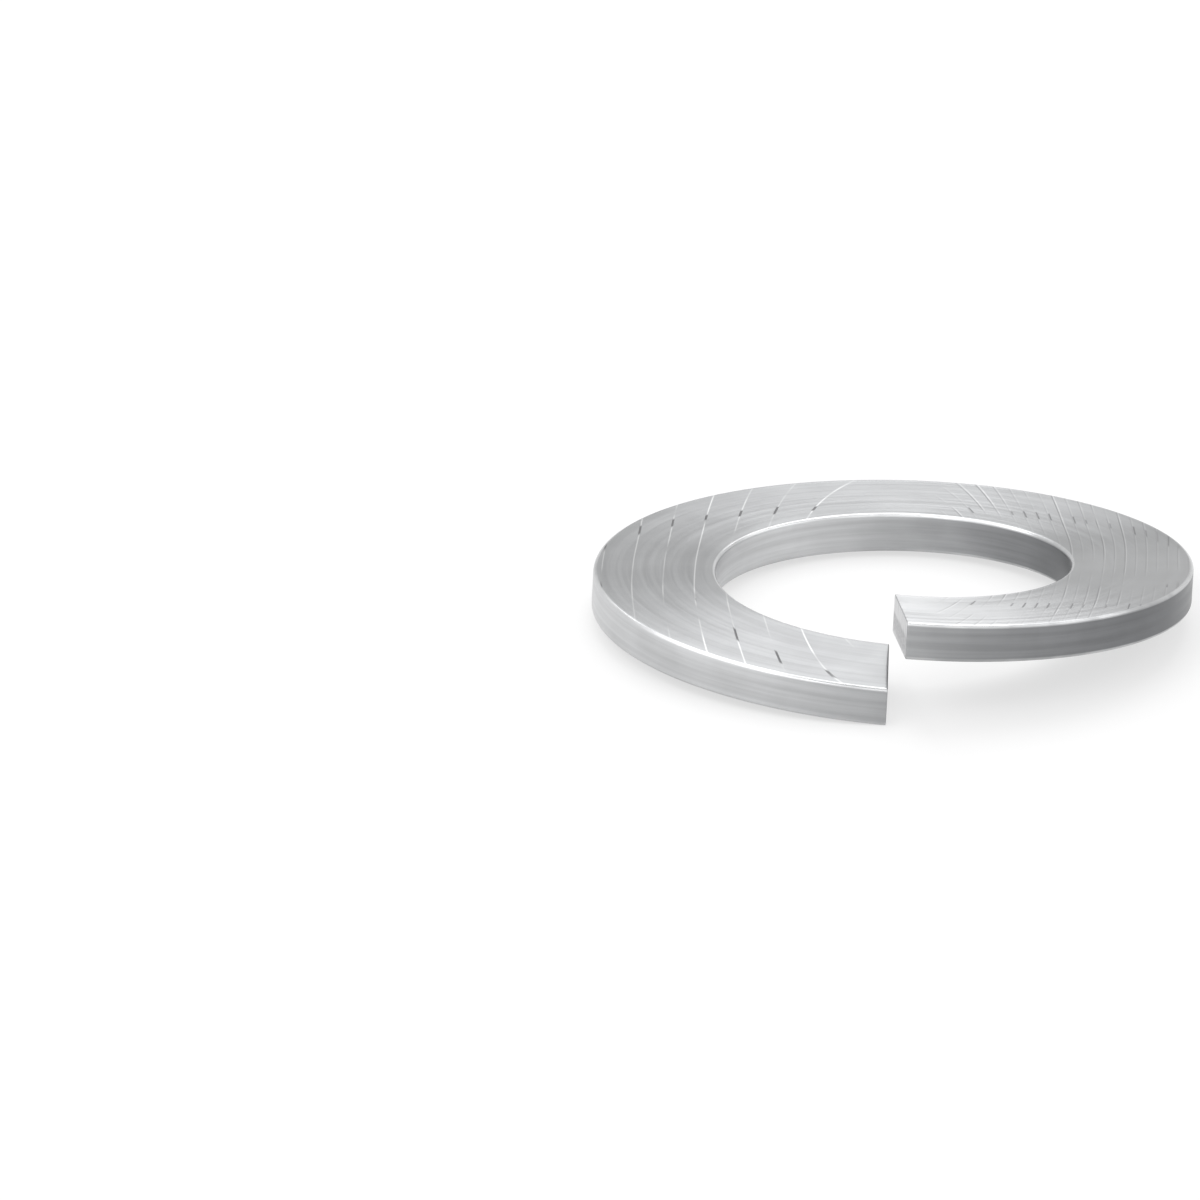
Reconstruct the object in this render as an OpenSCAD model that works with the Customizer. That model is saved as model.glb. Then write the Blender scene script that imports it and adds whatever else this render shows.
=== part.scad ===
// Spring lock washer: one left-hand turn of flat wire, cut through at the front,
// with its two ends sprung apart along the axis of the bolt hole.
// The hole's axis is +Z, the split faces -Y, and the low end touches Z = 0.

/* [Wire] */
// Width of the wire, from the hole to the rim
wire_w = 5.6; // [3:0.1:8]
// Thickness of the wire at the middle of its width
wire_t = 1.8; // [1.2:0.1:4]
// How much thicker the wire is at the hole than at the rim, from coiling
keystone = 0.06; // [0:0.02:0.2]
// Radius on the four long edges of the wire
edge_r = 0.18; // [0.08:0.02:0.3]

/* [Coil] */
// Diameter of the bolt hole
bore_d = 16.2; // [12:0.1:24]
// Height that the coil climbs from its low end to its high end
rise = 2.8; // [0:0.1:6]
// Angle by which the faces lean at the two ends, which spreads the rim further than the hole
end_lean = 4.4; // [0:0.2:8]

/* [Split] */
// Distance of the low end's cut from the plane through the hole's axis
cut_x = 0.08; // [0:0.02:2]
// Width of the split at the hole
split_w = 0.12; // [0.06:0.02:2]
// Angle by which the high end's cut opens the split towards the rim
split_flare = 6.2; // [0:0.2:15]

/* [Resolution] */
// Flat steps along the turn on the top and bottom faces
turn_steps = 144; // [120:1:180]
// Flat steps across each rounded edge
edge_steps = 3; // [1:1:3]

/* [Hidden] */
bore_r = bore_d / 2;
rim_r = bore_r + wire_w;
mean_r = bore_r + wire_w / 2;
bore_t = wire_t + keystone / 2;
rim_t = wire_t - keystone / 2;
// The swept wire stands this far past the bore and the rim, and the round walls trim it
trim = 0.02;
// The cutting shapes reach this far past the washer
past = 1;
round_fn = 180;
// Height of the wire's middle at the low end, where the lower rim edge touches Z = 0
low_z = rim_t / 2 + (wire_w / 2 - edge_r) * tan(end_lean);
// Height of the highest point, the upper rim edge at the high end
free_h = 2 * low_z + rise;
// X of the high end's cut where it leaves the hole
high_x = split_w - cut_x;

// Points of one rounded edge of the wire, round a centre at (r, z), starting at angle a
function corner(r, z, a) = [
    for (k = [0 : edge_steps])
        let (turn = a + 90 * k / edge_steps)
        [r + edge_r * cos(turn), z + edge_r * sin(turn)]
];

// The wire's section as [radius, height from its middle], from the lower edge at the hole
section = concat(
    corner(bore_r - trim + edge_r, edge_r - bore_t / 2, 180),
    corner(rim_r + trim - edge_r, edge_r - rim_t / 2, 270),
    corner(rim_r + trim - edge_r, rim_t / 2 - edge_r, 0),
    corner(bore_r - trim + edge_r, bore_t / 2 - edge_r, 90)
);

// Turn from the front, clockwise as seen from above, at which each end crosses radius r
function low_turn(r) = asin(cut_x / r);
function high_turn(r) = 360 - asin(high_x / r);

// Point p of the section, carried the share s of the way from the low end to the high end
function wire_point(s, p) =
    let (
        r = p[0],
        turn = low_turn(r) + s * (high_turn(r) - low_turn(r)),
        lean = (2 * s - 1) * tan(end_lean)
    )
    [-r * sin(turn), -r * cos(turn), low_z + s * rise + (r - mean_r) * lean + p[1]];

module swept_wire() {
    m = len(section);
    points = [for (i = [0 : turn_steps], p = section) wire_point(i / turn_steps, p)];
    sides = [
        for (i = [0 : turn_steps - 1], j = [0 : m - 1])
            let (a = i * m + j, b = i * m + (j + 1) % m)
            each [[a, b + m, b], [a, a + m, b + m]]
    ];
    low_end = [for (j = [0 : m - 1]) j];
    high_end = [for (j = [m - 1 : -1 : 0]) turn_steps * m + j];
    polyhedron(points = points, faces = concat(sides, [low_end, high_end]));
}

module rim() {
    translate([0, 0, -past])
        cylinder(r = rim_r, h = free_h + 2 * past, $fn = round_fn);
}

module bolt_hole() {
    translate([0, 0, -2 * past])
        cylinder(r = bore_r, h = free_h + 4 * past, $fn = round_fn);
}

// Wedge that slants the high end's cut, from the hole's edge to past the rim
module flare() {
    hole_y = sqrt(bore_r ^ 2 - high_x ^ 2) - trim;
    out_y = rim_r + past;
    out_x = high_x + (out_y - hole_y) * tan(split_flare);
    split_x = high_x - split_w / 2;
    translate([0, 0, -past])
        linear_extrude(height = free_h + 2 * past)
            polygon([[split_x, -hole_y], [split_x, -out_y], [out_x, -out_y], [high_x, -hole_y]]);
}

module lock_washer() {
    color("silver")
        difference() {
            intersection() {
                rim();
                swept_wire();
            }
            bolt_hole();
            flare();
        }
}

lock_washer();
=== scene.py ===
import bpy
import bmesh
from math import asin, atan2, cos, hypot, pi, radians, sin, sqrt, tan
from mathutils import Matrix, Vector, noise
from mathutils.bvhtree import BVHTree


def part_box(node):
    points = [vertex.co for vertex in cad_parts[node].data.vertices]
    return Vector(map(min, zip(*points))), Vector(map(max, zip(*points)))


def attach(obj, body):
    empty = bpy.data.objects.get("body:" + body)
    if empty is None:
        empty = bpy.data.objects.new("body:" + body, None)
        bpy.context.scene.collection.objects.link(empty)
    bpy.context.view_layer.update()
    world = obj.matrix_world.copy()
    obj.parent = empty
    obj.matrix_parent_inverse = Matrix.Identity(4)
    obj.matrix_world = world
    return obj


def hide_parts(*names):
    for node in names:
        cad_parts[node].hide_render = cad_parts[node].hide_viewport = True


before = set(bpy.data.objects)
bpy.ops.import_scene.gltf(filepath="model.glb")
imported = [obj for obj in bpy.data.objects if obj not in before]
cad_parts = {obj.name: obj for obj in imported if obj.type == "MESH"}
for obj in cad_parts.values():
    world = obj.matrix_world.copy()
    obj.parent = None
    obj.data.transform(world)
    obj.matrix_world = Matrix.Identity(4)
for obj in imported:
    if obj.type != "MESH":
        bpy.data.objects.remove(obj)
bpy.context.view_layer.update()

# The washer's sizes, in metres, as the frame holds them
MM = 0.001
WIRE_W = 5.6 * MM
WIRE_T = 1.8 * MM
KEYSTONE = 0.06 * MM
EDGE_R = 0.18 * MM
RISE = 2.8 * MM
END_LEAN = radians(4.4)
CUT_X = 0.08 * MM
SPLIT_W = 0.12 * MM
SPLIT_FLARE = radians(6.2)

low_corner, high_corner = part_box("lock_washer")
RIM_R = (high_corner[0] - low_corner[0]) / 2
BORE_R = RIM_R - WIRE_W
MEAN_R = RIM_R - WIRE_W / 2
RIM_T = WIRE_T - KEYSTONE / 2
LOW_Z = RIM_T / 2 + (WIRE_W / 2 - EDGE_R) * tan(END_LEAN)

# How finely the washer is meshed
TURN_STEPS = 540
EDGE_STEPS = 6
FACE_STEPS = 30
WALL_STEPS = 10
BREAK_STEPS = 3

# The sheared ends: the broken edge round each cut, and the torn part of its face
BREAK_R = 0.05 * MM
BLADE_SHARE = 0.4
TEAR_DEPTH = 0.05 * MM
TEAR_SIZE = 0.5 * MM
TEAR_WANDER = 0.06
TEAR_FADE = 0.12

# The grain of the steel and where a painted highlight lies: the depth of its relief, and the rest in
# millimetres
RELIEF = 0.012 * MM
# Where along the wire, in millimetres, the flat faces get a painted highlight toward the high end
HIGH_END_HIGHLIGHT_MM = (48.0, 70.0)
STREAKS_PER_MM = (0.07, 3.0, 1.0)
SHEARS_PER_MM = (7.0, 7.0, 0.6)
MOTTLES_PER_MM = 0.35
GRAINS_PER_MM = 5.0
CUT_GRAINS_PER_MM = 8.0

# The hairlines, bowed round the hole: how flat their bow is, and their sizes in millimetres
HAIR_BOW = 0.1
HAIR_PHASE = -0.27
LEFT_HAIR_W = 0.05
RIGHT_HAIR_W = 0.042
DARK_HAIR_OFF = 0.063
LEFT_HAIRS_PER_MM = 0.7
RIGHT_HAIRS_PER_MM = 2.0
HAIR_START_X = 1.5
SWAY = 0.5
SWAYS_PER_MM = 0.12
BREAKS_PER_MM = 0.3
RIGHT_HAIR_STRENGTH = 0.5
# Added to the count of the lines on the right, so that their luck isn't that of the left
RIGHT_LUCK = 97.0

# The nicks, in millimetres
LEFT_NICK_W = 0.064
RIGHT_NICK_W = 0.05
NICK_HALF_LENGTH = 0.62
LEFT_NICK_SCATTER = 0.2
RIGHT_NICK_SCATTER = 0.6
# Where the nicks lie, as (flattening, radius) of an oval round the hole, in three parts of the turn
NICKS_BACK = (0.4, 9.1)
NICKS_FRONT_LEFT = (2.0, 13.0)
NICKS_FRONT_RIGHT = (0.15, 8.8)
NICKS_FRONT_Y = -4.0

# Colours and roughness of the steel; the wall and hole tones carry painted light and shade
FACE_TONE = (0.28, 0.284, 0.289, 1)
# A painted highlight on the flat faces toward the high end
HIGH_END_HIGHLIGHT_TONE = (0.38, 0.384, 0.39, 1)
# The rim and the hole walls: painted light on the left, painted shade on the right
LEFT_WALL_PAINTED_LIGHT_TONE = (0.57, 0.575, 0.582, 1)
RIGHT_WALL_PAINTED_SHADE_TONE = (0.17, 0.174, 0.18, 1)
LEFT_HOLE_PAINTED_LIGHT_TONE = (0.62, 0.625, 0.632, 1)
RIGHT_HOLE_PAINTED_SHADE_TONE = (0.2, 0.204, 0.21, 1)
# Edge wear with a painted highlight on the rounded edges
EDGE_WEAR_AND_HIGHLIGHT_TONE = (0.52, 0.525, 0.53, 1)
CUT_BRIGHT_TONE = (0.74, 0.74, 0.745, 1)
CUT_TONE = (0.62, 0.62, 0.625, 1)
CUT_DARK_TONE = (0.45, 0.45, 0.455, 1)
HAIR_TONE = (0.85, 0.85, 0.85, 1)
# Near black: the painted shadow beside the hairlines on the right, and the nicks
GROOVE_SHADOW_AND_NICK_TONE = (0.05, 0.05, 0.052, 1)
FACE_ROUGH = 0.36
WALL_ROUGH = 0.42
EDGE_ROUGH = 0.24
BLADE_ROUGH = 0.36
CUT_ROUGH = 0.6
STREAK_ROUGHS = (-0.05, 0.06)
ANISOTROPY = 0.85
# Above 1, so that the polish and its painted highlight are full on the middle of a rounded edge and
# fade at its sides
EDGE_POLISH_AND_HIGHLIGHT = 1.5

# How much each mark shows in the colour
STREAK_SHADES = (0.88, 1.10)
MOTTLE_SHADES = (-0.05, 0.05)
LIGHT_HAIR_SHARE = 0.45
DARK_HAIR_SHARE = 1.0
NICK_SHARE = 0.9

# How high or deep each mark stands, as a share of the relief
STREAK_HEIGHT = 0.5
GRAIN_HEIGHT = 0.12
DARK_HAIR_DEPTH = 0.3
NICK_DEPTH = 0.8
SHEAR_HEIGHT = 0.8
TORN_SHEAR_HEIGHT = 0.1
CUT_GRAIN_HEIGHT = 1.5

# The floor, and how brightly it and the surround show
FLOOR_SIZE = 6.0
FLOOR_TONE = (0.8, 0.8, 0.8, 1)
FLOOR_WHITE = 0.65
FILL = 0.45
# How often the washer is let tip over to a lower face of its hull
SETTLE_STEPS = 4


def section(inset):
    """The wire's outline, moved inwards by inset, as (radius, height from its middle, wall, edge).

    Wall is 0 on the flat faces and 1 at the hole and the rim. Edge is 1 on the rounded edges.
    """
    inner, outer = BORE_R + inset, RIM_R - inset
    bore_top, rim_top = (WIRE_T + KEYSTONE / 2) / 2 - inset, RIM_T / 2 - inset
    edge_r = EDGE_R - inset
    centres = (
        (inner + edge_r, edge_r - bore_top, pi),
        (outer - edge_r, edge_r - rim_top, 1.5 * pi),
        (outer - edge_r, rim_top - edge_r, 0.0),
        (inner + edge_r, bore_top - edge_r, 0.5 * pi),
    )
    corners = []
    for k, (r, z, start) in enumerate(centres):
        corner = []
        for j in range(EDGE_STEPS + 1):
            share = j / EDGE_STEPS
            a = start + 0.5 * pi * share
            wall = share if k % 2 else 1 - share
            edge = min(1.0, EDGE_POLISH_AND_HIGHLIGHT * sin(pi * share))
            corner.append((r + edge_r * cos(a), z + edge_r * sin(a), wall, edge))
        corners.append(corner)
    points = []
    for k, corner in enumerate(corners):
        points += corner
        r0, z0, wall, _ = corner[-1]
        r1, z1, _, _ = corners[(k + 1) % 4][0]
        steps = WALL_STEPS if k % 2 else FACE_STEPS
        for j in range(1, steps):
            share = j / steps
            points.append((r0 + (r1 - r0) * share, z0 + (z1 - z0) * share, wall, 0.0))
    return points


def high_cut_x(r):
    """X of the high end's slanted cut at radius r."""
    x0 = SPLIT_W - CUT_X
    y0 = sqrt(BORE_R ** 2 - x0 ** 2)
    along = x0 * sin(SPLIT_FLARE) + y0 * cos(SPLIT_FLARE)
    return x0 + (sqrt(along ** 2 - BORE_R ** 2 + r ** 2) - along) * sin(SPLIT_FLARE)


def wire_point(s, r, z, back=0.0):
    """Point (r, z) of the section, the share s along the turn, drawn back from the near cut."""
    low = asin(CUT_X / r)
    high = 2 * pi - asin(high_cut_x(r) / r)
    turn = low + s * (high - low) + (back / r if s < 0.5 else -back / r)
    share = (turn - low) / (2 * pi - asin((SPLIT_W - CUT_X) / r) - low)
    lean = (2 * share - 1) * tan(END_LEAN)
    height = LOW_Z + share * RISE + (r - MEAN_R) * lean + z
    return Vector((-r * sin(turn), -r * cos(turn), height))


def tear(r, z):
    """How torn the cut face is at (r, z): 0 where the blade went in, 1 below, and 0 at its edges."""
    wander = TEAR_WANDER * noise.noise(Vector((r / TEAR_SIZE, 0.0, 0.0)))
    below = (0.5 - z / WIRE_T + wander - BLADE_SHARE) / TEAR_FADE
    to_edge = min(WIRE_T / 2 - abs(z), WIRE_W / 2 - abs(r - MEAN_R))
    return min(1.0, max(0.0, below)) * min(1.0, max(0.0, 2 * to_edge / TEAR_SIZE))


def add_ring(bm, points, s, back=0.0):
    """One ring of points round the wire, with what the steel is like there in its finish colour."""
    finish = bm.verts.layers.float_color["finish"]
    ring = []
    for r, z, wall, edge in points:
        v = bm.verts.new(wire_point(s, r, z, back))
        v[finish] = (wall, edge, 0.0, 1.0)
        ring.append(v)
    return ring


def join_rings(bm, a, b):
    """A band of faces from ring a to ring b."""
    for j in range(len(a)):
        k = (j + 1) % len(a)
        bm.faces.new((a[j], b[j], b[k], a[k]))


def close_end(bm, s, ring):
    """Closes a cut end with a grid, from its outline, that carries the relief of the shear."""
    outline = [Vector((r, z)) for r, z, _, _ in section(BREAK_R)]
    across, up, half = EDGE_STEPS + FACE_STEPS, EDGE_STEPS + WALL_STEPS, EDGE_STEPS // 2
    count = len(outline)
    bottom = [(half + i) % count for i in range(across + 1)]
    rim = [(across + half + j) % count for j in range(up + 1)]
    top = [(half - up - i) % count for i in range(across + 1)]
    hole = [(half - j) % count for j in range(up + 1)]
    grid = {(i, 0): ring[bottom[i]] for i in range(across + 1)}
    grid |= {(i, up): ring[top[i]] for i in range(across + 1)}
    grid |= {(0, j): ring[hole[j]] for j in range(up + 1)}
    grid |= {(across, j): ring[rim[j]] for j in range(up + 1)}
    for i in range(1, across):
        for j in range(1, up):
            u, v = i / across, j / up
            low = outline[bottom[0]].lerp(outline[bottom[-1]], u)
            high = outline[top[0]].lerp(outline[top[-1]], u)
            between = outline[bottom[i]].lerp(outline[top[i]], v)
            beside = outline[hole[j]].lerp(outline[rim[j]], u)
            r, z = between + beside - low.lerp(high, v)
            rough = 0.6 + 0.4 * noise.fractal(Vector((r, s, z)) / TEAR_SIZE, 1.0, 2.0, 2)
            grid[i, j] = bm.verts.new(wire_point(s, r, z, TEAR_DEPTH * tear(r, z) * rough))
            grid[i, j][bm.verts.layers.float_color["finish"]] = (0.0, 0.0, tear(r, z), 1.0)
    for i in range(across):
        for j in range(up):
            quad = [grid[i, j], grid[i + 1, j], grid[i + 1, j + 1], grid[i, j + 1]]
            face = bm.faces.new(quad if s < 0.5 else quad[::-1])
            face.material_index = 1


def build_washer():
    """One turn of flat wire, as rings of points with broken edges and two closed ends."""
    bm = bmesh.new()
    bm.verts.layers.float_color.new("finish")
    breaks = []
    for k in range(BREAK_STEPS + 1):
        a = 0.5 * pi * k / BREAK_STEPS
        breaks.append((BREAK_R * (1 - cos(a)), BREAK_R * (1 - sin(a))))
    low_end = [add_ring(bm, section(inset), 0.0, back) for inset, back in reversed(breaks)]
    wire = [add_ring(bm, section(0), i / TURN_STEPS) for i in range(1, TURN_STEPS)]
    high_end = [add_ring(bm, section(inset), 1.0, back) for inset, back in breaks]
    rings = low_end + wire + high_end
    for a, b in zip(rings, rings[1:]):
        join_rings(bm, a, b)
    close_end(bm, 0.0, rings[0])
    close_end(bm, 1.0, rings[-1])
    bm.normal_update()
    for face in bm.faces:
        face.smooth = True
    mesh = bpy.data.meshes.new("washer")
    bm.to_mesh(mesh)
    bm.free()
    return mesh


def add_wire_map(mesh):
    """A UV map in millimetres along and across the wire, for streaks that follow it."""
    uv = mesh.uv_layers.new(name="wire")
    for poly in mesh.polygons:
        mid = atan2(-poly.center.x, -poly.center.y) % (2 * pi)
        for loop in poly.loop_indices:
            p = mesh.vertices[mesh.loops[loop].vertex_index].co
            turn = atan2(-p.x, -p.y)
            turn += 2 * pi * round((mid - turn) / (2 * pi))
            r = hypot(p.x, p.y)
            share = turn / (2 * pi)
            lean = (2 * share - 1) * tan(END_LEAN)
            height = p.z - LOW_Z - share * RISE - (r - MEAN_R) * lean
            uv.data[loop].uv = (turn * MEAN_R / MM, (r + height) / MM)


class Nodes:
    """Adds nodes to a material or world, and gives back their sockets."""

    def __init__(self, owner):
        owner.use_nodes = True
        self.tree = owner.node_tree
        self.tree.nodes.clear()

    def new(self, kind, **settings):
        node = self.tree.nodes.new("ShaderNode" + kind)
        for name, value in settings.items():
            setattr(node, name, value)
        return node

    def put(self, socket, value):
        if isinstance(value, bpy.types.NodeSocket):
            self.tree.links.new(value, socket)
        else:
            socket.default_value = value

    def math(self, operation, a, b=0.0, clamp=False):
        node = self.new("Math", operation=operation, use_clamp=clamp)
        self.put(node.inputs[0], a)
        self.put(node.inputs[1], b)
        return node.outputs[0]

    def times(self, *values):
        product = values[0]
        for value in values[1:]:
            product = self.math("MULTIPLY", product, value)
        return product

    def fade(self, value, low, high, start=0.0, end=1.0):
        """Goes smoothly from start to end as the value goes from low to high."""
        node = self.new("MapRange", interpolation_type="SMOOTHSTEP")
        for name, number in zip(("Value", "From Min", "From Max", "To Min", "To Max"),
                                (value, low, high, start, end)):
            self.put(node.inputs[name], number)
        return node.outputs["Result"]

    def blend(self, share, a, b):
        """From colour a to colour b as the share goes from 0 to 1."""
        node = self.new("MixRGB")
        self.put(node.inputs[0], share)
        self.put(node.inputs[1], a)
        self.put(node.inputs[2], b)
        return node.outputs[0]

    def stretch(self, place, factors):
        node = self.new("VectorMath", operation="MULTIPLY")
        self.put(node.inputs[0], place)
        self.put(node.inputs[1], factors)
        return node.outputs[0]

    def place(self):
        """The place on the washer, in millimetres."""
        metres = self.new("TexCoord").outputs["Object"]
        return self.stretch(metres, (1 / MM, 1 / MM, 1 / MM))

    def metal(self, tone, rough, relief):
        bump = self.new("Bump")
        self.put(bump.inputs["Strength"], 1.0)
        self.put(bump.inputs["Distance"], RELIEF)
        self.put(bump.inputs["Height"], relief)
        shader = self.new("BsdfPrincipled")
        self.put(shader.inputs["Base Color"], tone)
        self.put(shader.inputs["Metallic"], 1.0)
        self.put(shader.inputs["Roughness"], rough)
        self.put(shader.inputs["Normal"], bump.outputs["Normal"])
        out = self.new("OutputMaterial")
        self.put(out.inputs["Surface"], shader.outputs["BSDF"])
        return shader

    def noise(self, place, scale, detail, roughness=0.5):
        node = self.new("TexNoise")
        self.put(node.inputs["Vector"], place)
        self.put(node.inputs["Scale"], scale)
        self.put(node.inputs["Detail"], detail)
        self.put(node.inputs["Roughness"], roughness)
        return node.outputs["Fac"]


def oval(n, x, y, flattening):
    """Distance from the hole's axis, with x counted by its flattening."""
    return n.math("SQRT", n.math("ADD", n.times(x, x, flattening), n.times(y, y)))


def hairlines(n, place, plain):
    """Fine bowed lines across the flat faces: light hairlines, a painted shadow beside each on the
    right, and the dark nicks on them.
    """
    split = n.new("SeparateXYZ")
    n.put(split.inputs[0], place)
    x, y = split.outputs[0], split.outputs[1]
    right = n.math("GREATER_THAN", x, 0.0)
    front = n.math("LESS_THAN", y, NICKS_FRONT_Y)
    bow = n.math("SQRT", n.math("ADD", n.times(x, x), n.times(y, y, HAIR_BOW)))
    sway = n.times(n.math("SUBTRACT", n.noise(place, SWAYS_PER_MM, 0.0), 0.5), SWAY)
    per_mm = n.fade(right, 0.0, 1.0, LEFT_HAIRS_PER_MM, RIGHT_HAIRS_PER_MM)
    count = n.math("ADD", n.times(n.math("ADD", bow, sway), per_mm), HAIR_PHASE)
    off = n.math("DIVIDE", n.math("PINGPONG", count, 0.5), per_mm)
    beside = n.math("PINGPONG", n.math("ADD", count, n.times(per_mm, DARK_HAIR_OFF)), 0.5)
    luck = n.new("TexWhiteNoise", noise_dimensions="1D")
    n.put(luck.inputs["W"], n.math("ADD", n.math("ROUND", count), n.times(right, RIGHT_LUCK)))
    chance = luck.outputs["Value"]
    chances = n.new("SeparateXYZ")
    n.put(chances.inputs[0], luck.outputs["Color"])

    here = n.times(n.fade(n.math("ABSOLUTE", x), HAIR_START_X, 2 * HAIR_START_X), plain)
    broken = n.fade(n.noise(place, BREAKS_PER_MM, 1.0), 0.32, 0.55)
    strength = n.fade(right, 0.0, 1.0, 1.0, RIGHT_HAIR_STRENGTH)
    strength = n.times(n.fade(chance, 0.0, 1.0, 0.3, 1.0), strength)
    hair_w = n.fade(right, 0.0, 1.0, LEFT_HAIR_W, RIGHT_HAIR_W)
    light = n.times(n.fade(off, 0.0, hair_w, 1.0, 0.0), strength, broken, here)
    # The dark line beside each light hairline on the right is a painted shadow, as of a groove
    dark = n.fade(n.math("DIVIDE", beside, per_mm), 0.0, RIGHT_HAIR_W, 1.0, 0.0)
    dark = n.times(dark, strength, broken, right, here)

    away = []
    for flattening, radius in (NICKS_BACK, NICKS_FRONT_LEFT, NICKS_FRONT_RIGHT):
        away.append(n.math("ABSOLUTE", n.math("SUBTRACT", oval(n, x, y, flattening), radius)))
    in_front = n.math("ADD", away[1], n.times(right, n.math("SUBTRACT", away[2], away[1])))
    apart = n.math("ADD", away[0], n.times(front, n.math("SUBTRACT", in_front, away[0])))
    spread = n.fade(right, 0.0, 1.0, LEFT_NICK_SCATTER, RIGHT_NICK_SCATTER)
    apart = n.math("ADD", apart, n.times(n.fade(chance, 0.0, 1.0), spread))
    short = n.fade(apart, 0.6 * NICK_HALF_LENGTH, NICK_HALF_LENGTH, 1.0, 0.0)
    nick_w = n.fade(right, 0.0, 1.0, LEFT_NICK_W, RIGHT_NICK_W)
    thin = n.fade(off, n.times(nick_w, 0.4), nick_w, 1.0, 0.0)
    faint = n.math("SUBTRACT", 1.0, n.times(right, n.fade(chances.outputs[1], 0.3, 1.0, 0.3, 0.8)))
    nick = n.times(short, thin, faint, here)
    return light, dark, nick


def spring_steel():
    """Drawn and coiled steel: streaks along the wire, hairlines across it and polished edges, with
    painted light and shade: a painted highlight on the edges and near the high end, painted light
    and shade across the walls, and a painted shadow beside the hairlines on the right.
    """
    mat = bpy.data.materials.new("spring_steel")
    n = Nodes(mat)
    finish = n.new("SeparateXYZ")
    n.put(finish.inputs[0], n.new("Attribute", attribute_name="finish").outputs["Vector"])
    wall, edge = finish.outputs[0], finish.outputs[1]
    wire = n.new("UVMap", uv_map="wire").outputs["UV"]
    along = n.new("SeparateXYZ")
    n.put(along.inputs[0], wire)
    place = n.place()
    split = n.new("SeparateXYZ")
    n.put(split.inputs[0], place)
    x, y = split.outputs[0], split.outputs[1]

    streak = n.noise(n.stretch(wire, STREAKS_PER_MM), 1.0, 5.0, 0.6)
    mottle = n.noise(place, MOTTLES_PER_MM, 4.0)
    grain = n.noise(place, GRAINS_PER_MM, 3.0)
    light, dark, nick = hairlines(n, place, n.fade(wall, 0.0, 0.2, 1.0, 0.0))

    rim_mm, bore_mm = RIM_R / MM, BORE_R / MM
    # Painted light and shade: the rim and hole walls go from lighter on the left to darker on the
    # right
    rim_painted_shading = n.blend(n.fade(x, -rim_mm, rim_mm), LEFT_WALL_PAINTED_LIGHT_TONE, RIGHT_WALL_PAINTED_SHADE_TONE)
    hole_painted_shading = n.blend(n.fade(x, -bore_mm, bore_mm), LEFT_HOLE_PAINTED_LIGHT_TONE, RIGHT_HOLE_PAINTED_SHADE_TONE)
    in_hole = n.math("LESS_THAN", oval(n, x, y, 1.0), MEAN_R / MM)
    wall_painted_shading = n.blend(in_hole, rim_painted_shading, hole_painted_shading)
    tone = n.blend(n.fade(wall, 0.2, 0.8), FACE_TONE, wall_painted_shading)
    # A painted highlight: the flat faces grow lighter toward the high end
    high_end_highlight = n.times(n.fade(along.outputs[0], *HIGH_END_HIGHLIGHT_MM), n.fade(wall, 0.0, 0.2, 1.0, 0.0))
    tone = n.blend(high_end_highlight, tone, HIGH_END_HIGHLIGHT_TONE)
    # Edge wear and a painted highlight: the rounded edges are lighter, in patches
    worn_and_highlit = n.times(edge, n.fade(mottle, 0.3, 0.6, 0.55, 1.0))
    tone = n.blend(worn_and_highlit, tone, EDGE_WEAR_AND_HIGHLIGHT_TONE)
    streaked = n.fade(streak, 0.3, 0.7, *STREAK_SHADES)
    shade = n.math("ADD", streaked, n.fade(mottle, 0.3, 0.7, *MOTTLE_SHADES))
    shades = n.new("CombineXYZ")
    for k in range(3):
        n.put(shades.inputs[k], shade)
    tone = n.stretch(tone, shades.outputs[0])
    tone = n.blend(n.times(light, LIGHT_HAIR_SHARE), tone, HAIR_TONE)
    # A painted shadow beside each hairline on the right
    tone = n.blend(n.times(dark, DARK_HAIR_SHARE), tone, GROOVE_SHADOW_AND_NICK_TONE)
    tone = n.blend(n.times(nick, NICK_SHARE), tone, GROOVE_SHADOW_AND_NICK_TONE)

    rough = n.math("ADD", FACE_ROUGH, n.times(wall, WALL_ROUGH - FACE_ROUGH))
    rough = n.math("ADD", rough, n.times(worn_and_highlit, EDGE_ROUGH - FACE_ROUGH))
    rough = n.math("ADD", rough, n.fade(streak, 0.3, 0.7, *STREAK_ROUGHS))

    relief = n.math("ADD", n.times(streak, STREAK_HEIGHT), n.times(grain, GRAIN_HEIGHT))
    relief = n.math("SUBTRACT", relief, n.times(dark, DARK_HAIR_DEPTH))
    relief = n.math("SUBTRACT", relief, n.times(nick, NICK_DEPTH))

    shader = n.metal(tone, rough, relief)
    # A quarter turn draws the highlights out across the grain, which runs round the hole
    n.put(shader.inputs["Anisotropic"], ANISOTROPY)
    n.put(shader.inputs["Anisotropic Rotation"], 0.25)
    tangent = n.new("Tangent", direction_type="RADIAL", axis="Z")
    n.put(shader.inputs["Tangent"], tangent.outputs["Tangent"])
    return mat


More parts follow.
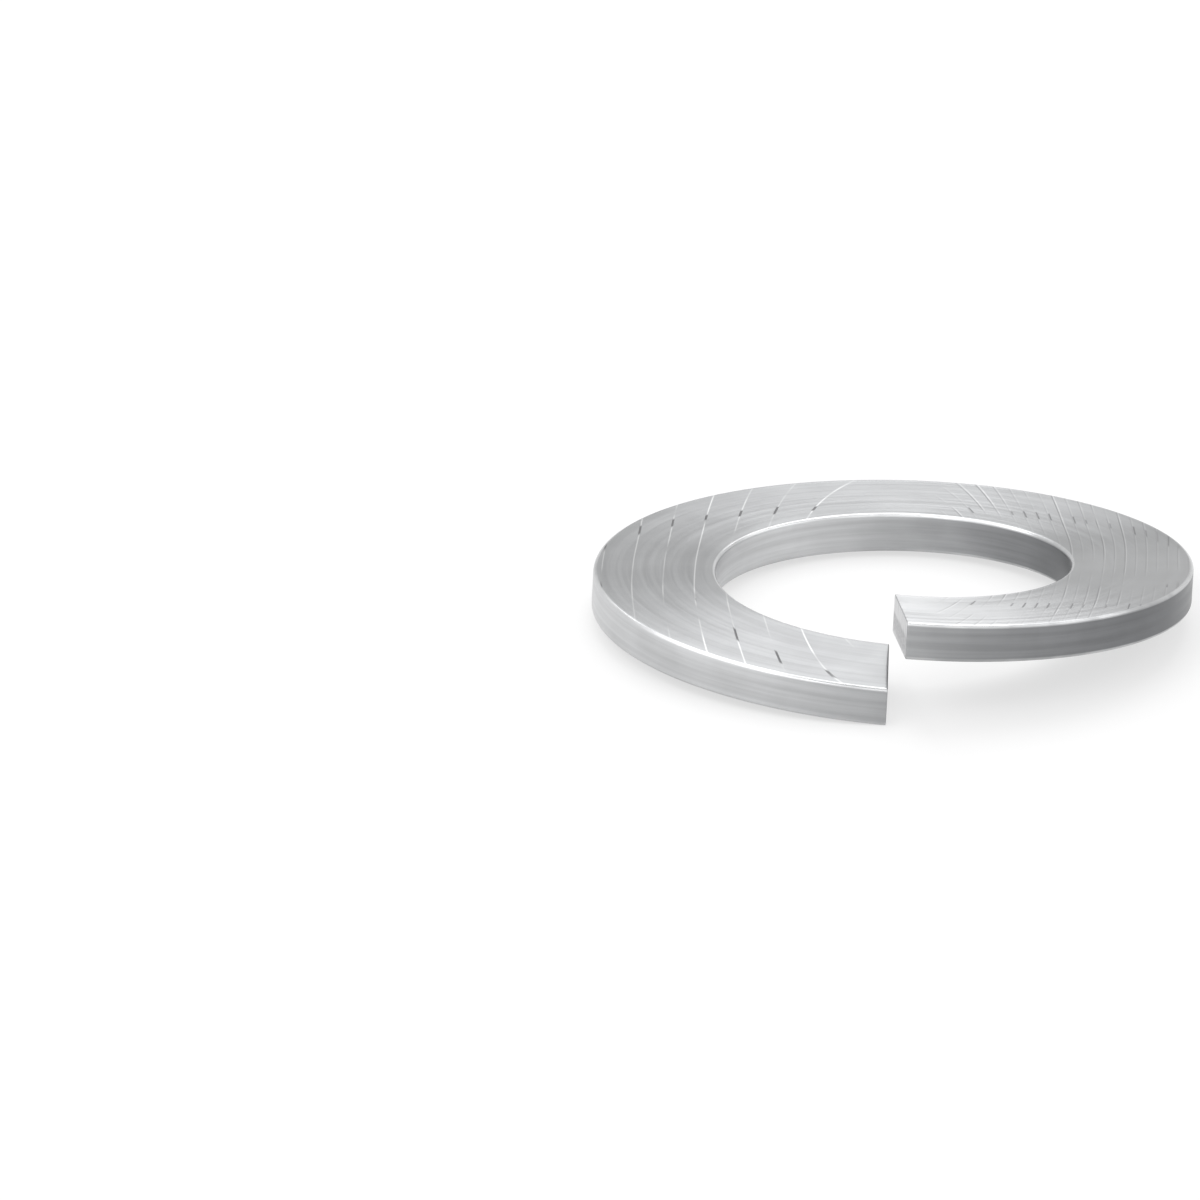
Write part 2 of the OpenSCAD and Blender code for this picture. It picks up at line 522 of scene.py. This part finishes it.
def sheared_steel():
    """The cut ends: upright shear lines where the blade went in, and a dull grain below."""
    mat = bpy.data.materials.new("sheared_steel")
    n = Nodes(mat)
    place = n.place()
    finish = n.new("SeparateXYZ")
    n.put(finish.inputs[0], n.new("Attribute", attribute_name="finish").outputs["Vector"])
    torn = finish.outputs[2]
    lines = n.noise(n.stretch(place, SHEARS_PER_MM), 1.0, 3.0)
    grain = n.noise(place, CUT_GRAINS_PER_MM, 4.0, 0.6)
    lined = n.blend(n.fade(lines, 0.35, 0.65), CUT_TONE, CUT_BRIGHT_TONE)
    grained = n.blend(n.fade(grain, 0.3, 0.7), CUT_DARK_TONE, CUT_TONE)
    tone = n.blend(torn, lined, grained)
    rough = n.math("ADD", n.fade(torn, 0.0, 1.0, BLADE_ROUGH, CUT_ROUGH), n.times(grain, 0.1))
    upright = n.times(lines, n.fade(torn, 0.0, 1.0, SHEAR_HEIGHT, TORN_SHEAR_HEIGHT))
    relief = n.math("ADD", upright, n.times(grain, torn, CUT_GRAIN_HEIGHT))
    n.metal(tone, rough, relief)
    return mat


# The washer
mesh = build_washer()
add_wire_map(mesh)
mesh.materials.append(spring_steel())
mesh.materials.append(sheared_steel())
washer = bpy.data.objects.new("washer", mesh)
bpy.context.scene.collection.objects.link(washer)
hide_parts("lock_washer")
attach(washer, "root")


def rest_plane(mesh):
    """The plane that the washer lies on: the face of its hull that is below its middle."""
    bm = bmesh.new()
    bm.from_mesh(mesh)
    centre = Vector((0, 0, 0))
    for v in bm.verts:
        centre += v.co / len(bm.verts)
    hull = bmesh.ops.convex_hull(bm, input=bm.verts, use_existing_faces=False)
    spare = [g for g in hull["geom_interior"] if isinstance(g, bmesh.types.BMVert)]
    bmesh.ops.delete(bm, geom=spare, context="VERTS")
    tree = BVHTree.FromBMesh(bm)
    down = Vector((0, 0, -1))
    for _ in range(SETTLE_STEPS):
        point, normal, _, _ = tree.ray_cast(centre, down)
        down = normal if normal.z < 0 else -normal
    bm.free()
    return point, -down


def seen_rays(n):
    """1 for rays from the camera, from gloss and from glass, and 0 for those that only light."""
    path = n.new("LightPath")
    seen = n.math("MAXIMUM", path.outputs["Is Camera Ray"], path.outputs["Is Glossy Ray"])
    return n.math("MAXIMUM", seen, path.outputs["Is Transmission Ray"])


def floor_paint():
    """White paper that keeps the washer's soft shadow."""
    mat = bpy.data.materials.new("floor")
    n = Nodes(mat)
    paper = n.new("BsdfDiffuse")
    n.put(paper.inputs["Color"], FLOOR_TONE)
    white = n.new("Emission")
    n.put(white.inputs["Strength"], 1.0)
    mix = n.new("MixShader")
    n.put(mix.inputs[0], n.times(seen_rays(n), FLOOR_WHITE))
    n.put(mix.inputs[1], paper.outputs[0])
    n.put(mix.inputs[2], white.outputs[0])
    out = n.new("OutputMaterial")
    n.put(out.inputs["Surface"], mix.outputs[0])
    return mat


def studio_world():
    """A white surround to see, which lights the washer at a plainer level."""
    world = bpy.data.worlds.new("studio")
    n = Nodes(world)
    fill = n.new("Background")
    n.put(fill.inputs["Strength"], FILL)
    white = n.new("Background")
    n.put(white.inputs["Strength"], 1.0)
    for light in (fill, white):
        n.put(light.inputs["Color"], (1, 1, 1, 1))
    mix = n.new("MixShader")
    n.put(mix.inputs[0], seen_rays(n))
    n.put(mix.inputs[1], fill.outputs[0])
    n.put(mix.inputs[2], white.outputs[0])
    out = n.new("OutputWorld")
    n.put(out.inputs["Surface"], mix.outputs[0])
    return world


def lamp(name, place, width, depth, watts):
    """A soft oblong lamp that faces the washer."""
    light = bpy.data.lights.new(name, "AREA")
    light.shape = "RECTANGLE"
    light.size = width
    light.size_y = depth
    light.energy = watts
    obj = bpy.data.objects.new(name, light)
    obj.location = place
    obj.rotation_euler = (-Vector(place)).to_track_quat("-Z", "Y").to_euler()
    obj.visible_camera = False
    bpy.context.scene.collection.objects.link(obj)


# The floor, tilted to the plane that the washer rests on
rest_point, rest_up = rest_plane(mesh)
floor_mesh = bpy.data.meshes.new("floor")
bm = bmesh.new()
bmesh.ops.create_grid(bm, x_segments=1, y_segments=1, size=FLOOR_SIZE / 2)
bm.to_mesh(floor_mesh)
bm.free()
floor_mesh.materials.append(floor_paint())
floor = bpy.data.objects.new("floor", floor_mesh)
tilt = rest_up.to_track_quat("Z", "Y").to_matrix().to_4x4()
floor.matrix_world = Matrix.Translation(rest_point) @ tilt
bpy.context.scene.collection.objects.link(floor)

# The light: each lamp's place and size in metres, and its power in watts
bpy.context.scene.world = studio_world()
lamp("overhead", (-0.01, 0.25, 0.39), 0.34, 0.42, 1.3)
lamp("left", (-0.34, -0.1, 0.35), 0.7, 0.34, 1.35)
lamp("right", (0.36, 0.0, 0.3), 0.5, 0.24, 0.45)
lamp("front", (0.0, -0.42, 0.36), 0.7, 0.34, 0.8)

# Camera, in the photograph's frame of 1200 pixels
PHOTO_PX = 1200
LENS = 900.0
SENSOR = 36.0
PX_PER_RIM_R = 299.53
AXIS_PX = (891.43, 603.54)
ELEVATION = radians(17.228)
ROLL = radians(-3.125)
px = RIM_R / PX_PER_RIM_R
distance = PHOTO_PX * px * LENS / SENSOR
forward = Vector((0, cos(ELEVATION), -sin(ELEVATION)))
level = Vector((1, 0, 0))
upright = Vector((0, sin(ELEVATION), cos(ELEVATION)))
right = level * cos(ROLL) - upright * sin(ROLL)
up = level * sin(ROLL) + upright * cos(ROLL)
axis_point = Vector((0, 0, LOW_Z + (RISE - WIRE_T) / 2))
aim = axis_point - right * (AXIS_PX[0] - PHOTO_PX / 2) * px - up * (PHOTO_PX / 2 - AXIS_PX[1]) * px
camera_data = bpy.data.cameras.new("camera")
camera_data.lens = LENS
camera_data.sensor_width = SENSOR
camera_data.clip_start = 0.01
camera_data.clip_end = 20.0
camera = bpy.data.objects.new("camera", camera_data)
turned = Matrix((right, up, -forward)).transposed().to_4x4()
camera.matrix_world = Matrix.Translation(aim - forward * distance) @ turned
bpy.context.scene.collection.objects.link(camera)
bpy.context.scene.camera = camera
bpy.context.scene.view_settings.view_transform = "Standard"
